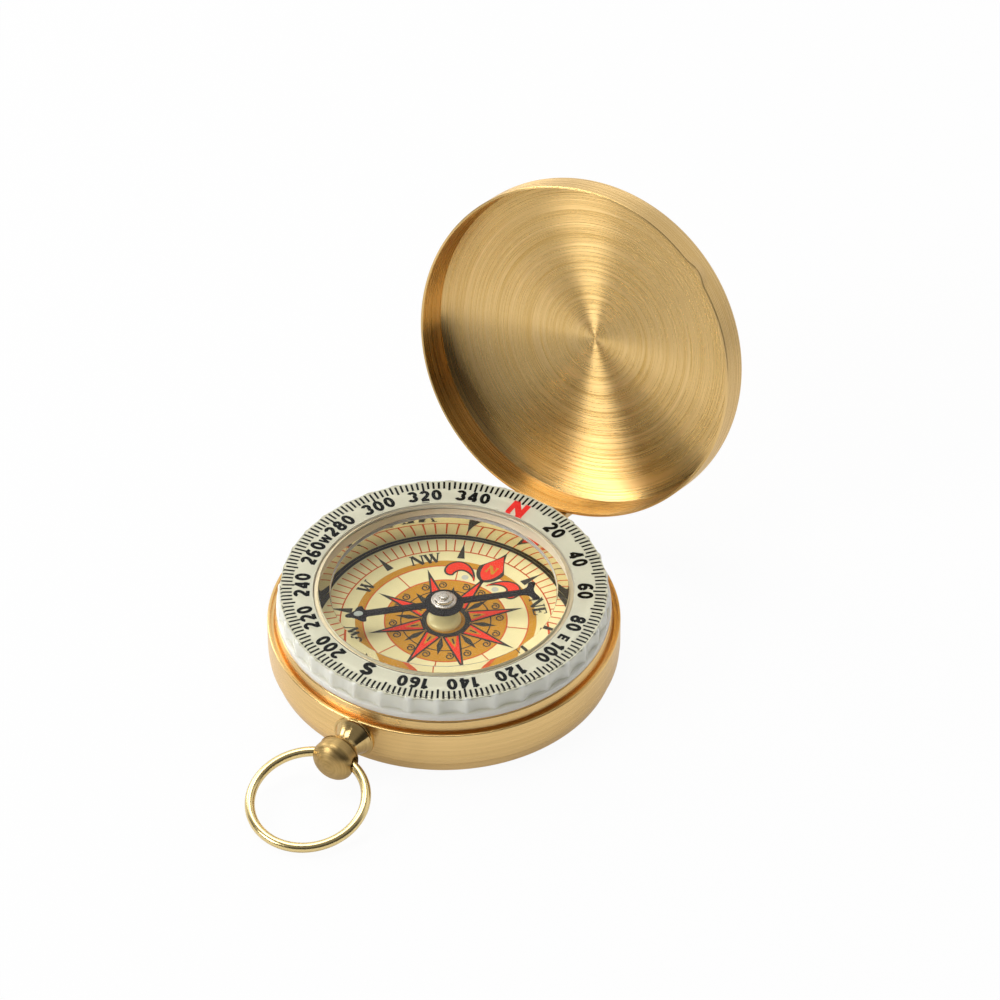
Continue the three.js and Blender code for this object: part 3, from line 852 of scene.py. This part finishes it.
def heart(wide, foot, tip):
    """Outline of the lily's middle petal: a kite with full lower sides, drawn out to a point."""
    low = bezier([(0, foot), (wide * 0.7, foot + 0.5), (wide * 0.95, foot + 1.7), (wide, foot + 2.9)], 10)
    high = bezier([(wide, foot + 2.9), (wide * 0.8, foot + 3.8), (wide * 0.3, foot + 4.9), (0, tip)], 10)
    right = [*low, *high[1:]]
    return [*right, *[Vector((-x, y)) for x, y in right[-2:0:-1]]]


def shrunk(points, amount):
    """Points drawn in from the outline's own sides by about an amount."""
    made = []
    for i, point in enumerate(points):
        along = (points[(i + 1) % len(points)] - points[i - 1]).normalized()
        made.append(point + Vector((-along.y, along.x)) * amount)
    return made


def rose_ground():
    orange = Print(dial_height + ink)
    orange.band(disc_inner, disc_radius)
    orange.band(band_inner, band_outer)
    return orange


def rose_lines():
    wind_width = 0.17
    tick_width = 0.19
    lines = Print(dial_height + 2 * ink)
    lines.band(disc_radius - 0.05, disc_radius + 0.15)
    lines.band(band_inner - 0.12, band_inner + 0.06)
    lines.band(tick_inner - 0.1, tick_inner + 0.1)
    for bearing in half_winds:
        lines.stroke([at(disc_radius, bearing), at(band_inner, bearing)], wind_width)
    for i in range(tick_count):
        bearing = 2 * math.pi * i / tick_count
        lines.stroke([at(tick_inner, bearing), at(tick_outer, bearing)], tick_width)
    return lines


def rose_dark():
    dark = Print(dial_height + 3 * ink)
    dark.band(hub_inner, hub_outer)
    dark.band(hoop_inner, hoop_outer)
    for bearing in winds:
        dark.spike(bearing, foot=3.3, tip=11.3, half=1.3)
        for turn in (-1, 1):
            spiral(dark, at(spiral_radius, bearing + turn * spiral_angle), spiral_size)
    leaf = [(3.4, 0), (5.35, 0.47), (7.35, 0), (5.35, -0.47)]
    for bearing in half_winds:
        dark.polygon([at(radius, bearing, aside) for radius, aside in leaf])
        dark.spike(bearing, foot=13.5, tip=16.75, half=0.55)
    for text, bearing in zip(("NE", "E", "SE", "S", "SW", "W", "NW"), winds[1:]):
        letters(dark, text, bearing + letter_turn, letter_radius, letter_size, serif, weight=1.3)
    for side in (-1, 1):
        dark.polygon(petal(side))
    dark.polygon(heart(wide=2.05, foot=9.6, tip=16.9))
    stem = [(0.1, 6.8), (0.1, 9.9)]
    dark.stroke(stem, [0.5, 0.42])
    return dark


def rose_red():
    border = 0.28  # of the side petals
    red = Print(dial_height + 4 * ink)
    for bearing in winds:
        red.spike(bearing, foot=3.55, tip=9.4, half=0.98)
    for side in (-1, 1):
        red.polygon(shrunk(petal(side), -border * side))
    red.polygon(heart(wide=1.5, foot=10.1, tip=15.9))
    return red


def rose_marks():
    marks = Print(dial_height + 5 * ink)
    for bearing in winds:
        marks.spike(bearing, foot=3.6, tip=5.9, half=0.7)
    letters(marks, "N", bearing=0, radius=12.6, size=1.5, font=serif, weight=1.4)
    return marks


def rose_spots():
    """Pale spots inside the side petals' curls."""
    aside, up = 2.5, 9.3
    size = 0.5
    spots = Print(dial_height + 3 * ink)
    for side in (-1, 1):
        centre = Vector((side * aside, up))
        spots.polygon([centre + p for p in arc((0, 0), size, 0, 345, 23)])
    return spots


def rose_dashes():
    start, end = 4.0, 5.1
    width = 0.26
    dashes = Print(dial_height + 6 * ink)
    for bearing in winds:
        dashes.stroke([at(start, bearing), at(end, bearing)], width)
    return dashes


# A dark printed border outside the ticks; its outer hair, printed over the gap to the well wall, is painted
# shade
def dial_edge():
    edge = Print(dial_height + 3 * ink)
    edge.band(tick_outer, card_edge)
    return edge


piece("dial_edge", dial_edge().mesh(), "case", print_dark)
rose = [
    ("rose_ground", rose_ground(), print_orange),
    ("rose_lines", rose_lines(), print_line),
    ("rose_dark", rose_dark(), print_dark),
    ("rose_red", rose_red(), print_red),
    ("rose_marks", rose_marks(), print_orange),
    ("rose_dashes", rose_dashes(), print_dark),
    ("rose_spots", rose_spots(), print_grey),
]
for name, sheet, colour in rose:
    piece(name, sheet.mesh(), "case", colour, place=dial_place)


# Needle, drawn with its arrow at -Y

needle_place = Matrix.Rotation(math.pi - arrow_bearing, 4, "Z")


def needle_outline():
    half = 0.62
    hub = 2.8
    tip = 14.2
    tail = 13.55
    barb = 1.5
    hub_edge = math.sqrt(hub * hub - half * half)
    hub_angle = math.degrees(math.atan2(hub_edge, half))
    right = bezier([(0, -tip), (0.3, -tip), (0.38, -tip + 0.5), (0.42, -tip + 0.8)], 5)
    right += bezier([(0.8, -12.7), (barb, -12.3), (1.65, -11.9), (barb + 0.05, -11.45)], 6)
    right += bezier([(barb - 0.15, -11.3), (0.9, -11.45), (half, -11.3), (half, -10.8)], 6)[1:]
    right += arc((0, 0), hub, -hub_angle, hub_angle, 24)
    right += bezier([(half * 0.9, tail - 2.3), (half, tail - 1.5), (1.0, tail - 1.2), (1.5, tail - 1.1)], 8)
    right += bezier([(1.5, tail - 1.1), (1.95, tail - 1.05), (2.05, tail - 0.2), (1.6, tail)], 8)[1:]
    right += bezier([(1.6, tail), (1.2, tail), (0.8, tail - 0.5), (0, tail - 0.5)], 8)[1:]
    left = [Vector((-p.x, p.y)) for p in reversed(right) if p.x > 1e-6]
    return right + left


def needle_blade():
    edge = 0.08
    bm = bmesh.new()
    outline = [bm.verts.new((p.x * MM, p.y * MM, needle_bottom * MM)) for p in needle_outline()]
    bmesh.ops.remove_doubles(bm, verts=outline, dist=1e-6)
    base = bm.faces.new(bm.verts)
    raised = bmesh.ops.extrude_face_region(bm, geom=[base])["geom"]
    lifted = [v for v in raised if isinstance(v, bmesh.types.BMVert)]
    bmesh.ops.translate(bm, verts=lifted, vec=(0, 0, (needle_top - needle_bottom) * MM))
    rims = [e for e in bm.edges if abs(e.verts[0].co.z - e.verts[1].co.z) < 1e-9]
    bmesh.ops.bevel(bm, geom=rims, offset=edge * MM, segments=2, profile=0.5, affect="EDGES")
    return finished(bm)


def needle_cap():
    """A disc with a rounded rim, a step and a knob."""
    bore = 0.62
    bore_top = needle_top + 0.35
    neck = 0.95
    disc = needle_top + 0.6
    step = disc + 0.42
    step_foot, step_rim = 1.38, 1.32
    knob_foot, knob_rim = 0.72, 0.66
    return turned(rounded([
        (bore, cap_bottom),
        (neck, cap_bottom, 0.06),
        (neck, needle_top),
        (cap_radius, needle_top, 0.05),
        (cap_radius, disc, 0.2),
        (step_foot, disc, 0.06),
        (step_rim, step, 0.14),
        (knob_foot, step, 0.05),
        (knob_rim, cap_top, 0.16),
        (0, cap_top),
        (0, bore_top),
        (bore, bore_top),
    ]), ring=True, segments=96)


def needle_lume():
    """A low oval drop on the arrow."""
    middle_at = lume_place.length
    long = 0.66
    wide = 0.5
    edge_drop = 0.03
    crown = 0.85  # share of its width that is flat
    ring = [(wide * x, -middle_at + long * y) for x, y in arc((0, 0), 1, 0, 345, 23)]
    bm = bmesh.new()
    rows = []
    for share, height in ((1, needle_top), (1, lume_top - edge_drop), (crown, lume_top)):
        row = [(x * share, -middle_at + (y + middle_at) * share) for x, y in ring]
        rows.append([bm.verts.new((x * MM, y * MM, height * MM)) for x, y in row])
    for low, high in zip(rows, rows[1:]):
        for k in range(len(ring)):
            n = (k + 1) % len(ring)
            bm.faces.new([low[k], low[n], high[n], high[k]])
    bm.faces.new(rows[0][::-1])
    bm.faces.new(rows[-1])
    return finished(bm)


piece("needle_strip", needle_blade(), "needle", needle_black, ["needle"], needle_place)
piece("cap", needle_cap(), "needle", cap_bright, ["needle_cap"])
piece("lume", needle_lume(), "needle", lume_pale, ["needle_lume"], needle_place)


# Bezel and its degree scale

bezel_place = Matrix.Rotation(-bezel_turn, 4, "Z")
card_thick = 0.12
card_level = scale_bottom + card_thick
scale_inner = 18.55


def bezel():
    flange = bezel_bottom + 0.9
    flange_slope = flange + 0.08
    scallop_foot = flange + 0.05
    wall_foot = flange + 0.6
    band = bezel_radius - 0.25
    bore = scale_inner - 0.08
    crown_round = 0.7

    def scallop(radius, bearing, height):
        if radius < scale_radius or height < scallop_foot:
            return radius
        phase = (bearing * scallops / (2 * math.pi)) % 1 - 0.5
        share = abs(phase) * 2 / scallop_share
        depth = scallop_depth * (1 - share * share) if share < 1 else 0
        return radius - depth

    return turned(rounded([
        (bezel_bore, bezel_bottom, 0.05),
        (bezel_radius, bezel_bottom, 0.15),
        (bezel_radius, flange, 0.2),
        (band, flange_slope, 0.05),
        (band, wall_foot),
        (band, scale_top, crown_round),
        (bore, scale_top, 0.12),
        (bore, scale_bottom, 0.05),
        (bezel_bore, scale_bottom),
    ], steps=8), ring=True, segments=720, reshape=scallop)


def scale_card():
    return turned(rounded([
        (scale_inner, scale_bottom),
        (scale_radius, scale_bottom),
        (scale_radius, card_level, 0.03),
        (scale_inner, card_level, 0.03),
    ]), ring=True, segments=240)


def oval(x, y, wide, high, start, end):
    """Points of an upright oval between two angles in degrees."""
    return [(x + wide * p.x, y + high * p.y) for p in arc((0, 0), 1, start, end, 20)]


# Plain bold numerals and capitals, drawn as the serif ones are
heavy = 0.26
plain_font = {
    "0": (0.62, [(oval(0.31, 0.5, 0.225, 0.415, 0, 360), heavy)]),
    "1": (0.46, [([(0.33, 0), (0.33, 1)], heavy), ([(0.06, 0.74), (0.33, 0.94)], heavy)]),
    "2": (0.62, [
        (oval(0.31, 0.69, 0.22, 0.225, 165, -30), heavy),
        ([(0.50, 0.58), (0.40, 0.42), (0.22, 0.24), (0.10, 0.08)], heavy),
        ([(0.04, 0.085), (0.58, 0.085)], heavy),
    ]),
    "3": (0.62, [
        (oval(0.28, 0.71, 0.215, 0.205, 160, -80), heavy),
        (oval(0.28, 0.295, 0.24, 0.21, 80, -160), heavy),
    ]),
    "4": (0.64, [
        ([(0.44, 0), (0.44, 1)], heavy), ([(0.42, 0.94), (0.06, 0.30)], heavy * 0.85),
        ([(0, 0.27), (0.62, 0.27)], heavy),
    ]),
    "6": (0.62, [
        (oval(0.31, 0.30, 0.225, 0.215, 0, 360), heavy),
        (bezier([(0.085, 0.30), (0.06, 0.72), (0.22, 1.06), (0.53, 0.84)], 12), heavy),
    ]),
    "8": (0.62, [
        (oval(0.31, 0.715, 0.19, 0.20, 0, 360), heavy),
        (oval(0.31, 0.29, 0.225, 0.21, 0, 360), heavy),
    ]),
    "N": (0.86, [
        ([(0.09, 0), (0.09, 1)], heavy), ([(0.10, 0.97), (0.76, 0.03)], heavy * 1.1),
        ([(0.77, 0), (0.77, 1)], heavy),
    ]),
    "E": (0.66, [
        ([(0.10, 0), (0.10, 1)], heavy * 1.2), ([(0, 0.915), (0.66, 0.915)], heavy),
        ([(0, 0.5), (0.6, 0.5)], heavy), ([(0, 0.085), (0.66, 0.085)], heavy),
    ]),
    "S": (0.76, [
        (oval(0.38, 0.71, 0.27, 0.205, 20, 275), heavy * 1.15),
        (oval(0.38, 0.29, 0.28, 0.205, 95, -155), heavy * 1.15),
    ]),
    "W": (1.1, [
        ([(0.08, 1), (0.30, 0)], heavy), ([(0.30, 0), (0.55, 1)], heavy), ([(0.55, 1), (0.80, 0)], heavy),
        ([(0.80, 0), (1.02, 1)], heavy),
    ]),
}
numeral_radius = 19.98
numeral_size = 2.1
letter_inset = 0.2
north_size = 2.75
long_tick = (21.05, 22.8)
short_tick = (21.4, 22.9)
tick_width = 0.32


def scale_marks():
    marks = Print(card_level + ink)
    for degree in range(0, 360, 2):
        bearing = math.radians(degree)
        inner, outer = long_tick if degree % 10 == 0 else short_tick
        marks.stroke([at(inner, bearing), at(outer, bearing)], tick_width)
    for degree in range(20, 360, 20):
        if degree != 180:
            letters(marks, str(degree), math.radians(degree), numeral_radius, numeral_size, plain_font)
    for degree, letter, size in ((90, "E", 1.5), (180, "S", 2.3), (270, "W", 1.5)):
        letters(marks, letter, math.radians(degree), numeral_radius - letter_inset, size, plain_font)
    return marks.mesh()


def scale_north():
    mark = Print(card_level + ink)
    letters(mark, "N", 0, numeral_radius, north_size, plain_font, weight=1.15)
    return mark.mesh()


def milky_rim(ring):
    """The rim outside the scale and the skirt below it are milky."""
    margin = 0.1
    ring.data.materials.append(bezel_milky)
    for face in ring.data.polygons:
        centre = face.center / MM
        outside = centre.xy.length > scale_radius + margin
        below = centre.z < scale_bottom - margin
        face.material_index = int(outside or below)


milky_rim(piece("bezel", bezel(), "bezel", bezel_clear, ["bezel_ring"], bezel_place))
piece("scale", scale_card(), "bezel", scale_white, ["scale_ring"], bezel_place)
piece("scale_marks", scale_marks(), "bezel", scale_black, place=bezel_place)
piece("scale_north", scale_north(), "bezel", scale_red, place=bezel_place)


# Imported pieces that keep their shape

packed_round = 0.06
kept = {
    "case_hinge_lug": hinge_brass,
    "lid_hinge_leaf": hinge_brass,
    "hinge_pin": steel_bright,
    "pendant_stud": hinge_brass,
    "pendant_nut": hinge_brass,
    "pivot_pin": steel_bright,
    "cap_jewel": jewel_red,
}
for name, look in kept.items():
    shape = frame["nodes"][name]
    shape.data.materials.clear()
    shape.data.materials.append(look)
    bevel = shape.modifiers.new("edges", "BEVEL")
    bevel.width = packed_round * MM
    bevel.segments = 2


# Floor, light and camera

def floor():
    """White to the camera and through clear pieces, partly white in metal, and matt for the shadow."""
    seen_white = 0.95
    gloss_white = 0.3
    bpy.ops.mesh.primitive_plane_add(size=3)
    plane = bpy.context.object
    plane.name = "floor"
    look = shader("floor_white")
    tree = look.node_tree
    rays = node(tree, "ShaderNodeLightPath").outputs
    seen = math_node(tree, "MAXIMUM", rays["Is Camera Ray"], rays["Is Transmission Ray"])
    share = math_node(tree, "MAXIMUM", math_node(tree, "MULTIPLY", seen, seen_white),
                      math_node(tree, "MULTIPLY", rays["Is Glossy Ray"], gloss_white))
    matt = node(tree, "ShaderNodeBsdfDiffuse", {"Color": (0.9, 0.9, 0.9, 1)})
    white = node(tree, "ShaderNodeEmission", {"Color": (1, 1, 1, 1), "Strength": 1.0})
    mix = node(tree, "ShaderNodeMixShader", {0: share, 1: matt.outputs[0], 2: white.outputs[0]})
    shown(tree, mix.outputs[0])
    plane.data.materials.append(look)


def softbox(name, direction, width, height, power):
    """An area lamp that faces the compass from a direction."""
    lamp_distance = 0.9
    lamp = bpy.data.lights.new(name, "AREA")
    lamp.shape = "RECTANGLE"
    lamp.size = width
    lamp.size_y = height
    lamp.energy = power
    made = bpy.data.objects.new(name, lamp)
    bpy.context.scene.collection.objects.link(made)
    towards = Vector(direction).normalized()
    made.location = towards * lamp_distance
    made.rotation_mode = "QUATERNION"
    made.rotation_quaternion = towards.to_track_quat("Z", "Y")


def studio():
    """A pale backdrop behind and at the left, a dim ceiling, a dark horizon in front, three lamps."""
    darkest = 0.05
    brightest = 0.9
    ceiling_level = 0.25
    leftwards = 0.35  # how far the backdrop reaches round to the left
    world = bpy.data.worlds.new("studio")
    bpy.context.scene.world = world
    world.use_nodes = True
    tree = world.node_tree
    direction = node(tree, "ShaderNodeTexCoord").outputs["Generated"]
    way = node(tree, "ShaderNodeSeparateXYZ", {0: direction}).outputs

    def ramp(value, start, end):
        return node(tree, "ShaderNodeMapRange", {"Value": value, "From Min": start, "From Max": end},
                    interpolation_type="SMOOTHSTEP").outputs["Result"]

    side = math_node(tree, "SUBTRACT", way["Y"], math_node(tree, "MULTIPLY", way["X"], leftwards))
    backdrop = math_node(tree, "MULTIPLY", ramp(side, -0.1, 0.4), ramp(way["Z"], 0.92, 0.7))
    ceiling = math_node(tree, "MULTIPLY", ramp(way["Z"], 0.4, 0.8), ceiling_level)
    level = ranged(tree, math_node(tree, "MAXIMUM", backdrop, ceiling), darkest, brightest)
    tree.links.new(level, tree.nodes["Background"].inputs["Strength"])
    tree.nodes["Background"].inputs["Color"].default_value = (1, 1, 1, 1)
    softbox("top_light", (-0.3, 0.15, 0.94), 0.5, 0.5, 2.8)
    softbox("side_light", (-0.53, -0.70, 0.46), 0.32, 0.26, 3.0)
    softbox("left_light", (-0.85, 0.18, 0.49), 0.34, 0.34, 1.4)


def camera():
    """Long lens, fitted to the photograph's circles; origin is the model's place in the camera's axes."""
    azimuth = math.radians(29.8)
    elevation = math.radians(41)
    focal_pixels = 6540
    image_width = 1000
    origin = Vector((-7.93, 21.95, 930))
    right = Vector((math.cos(azimuth), math.sin(azimuth), 0))
    forward = Vector((
        -math.sin(azimuth) * math.cos(elevation),
        math.cos(azimuth) * math.cos(elevation),
        -math.sin(elevation),
    ))
    down = forward.cross(right)
    place = -(right * origin.x + down * origin.y + forward * origin.z) * MM
    lens = bpy.data.cameras.new("photo")
    lens.sensor_width = 36
    lens.lens = focal_pixels * lens.sensor_width / image_width
    made = bpy.data.objects.new("photo", lens)
    bpy.context.scene.collection.objects.link(made)
    made.matrix_world = Matrix((
        (right.x, -down.x, -forward.x, place.x),
        (right.y, -down.y, -forward.y, place.y),
        (right.z, -down.z, -forward.z, place.z),
        (0, 0, 0, 1),
    ))
    bpy.context.scene.camera = made


floor()
studio()
camera()
bpy.context.scene.view_settings.view_transform = "Standard"
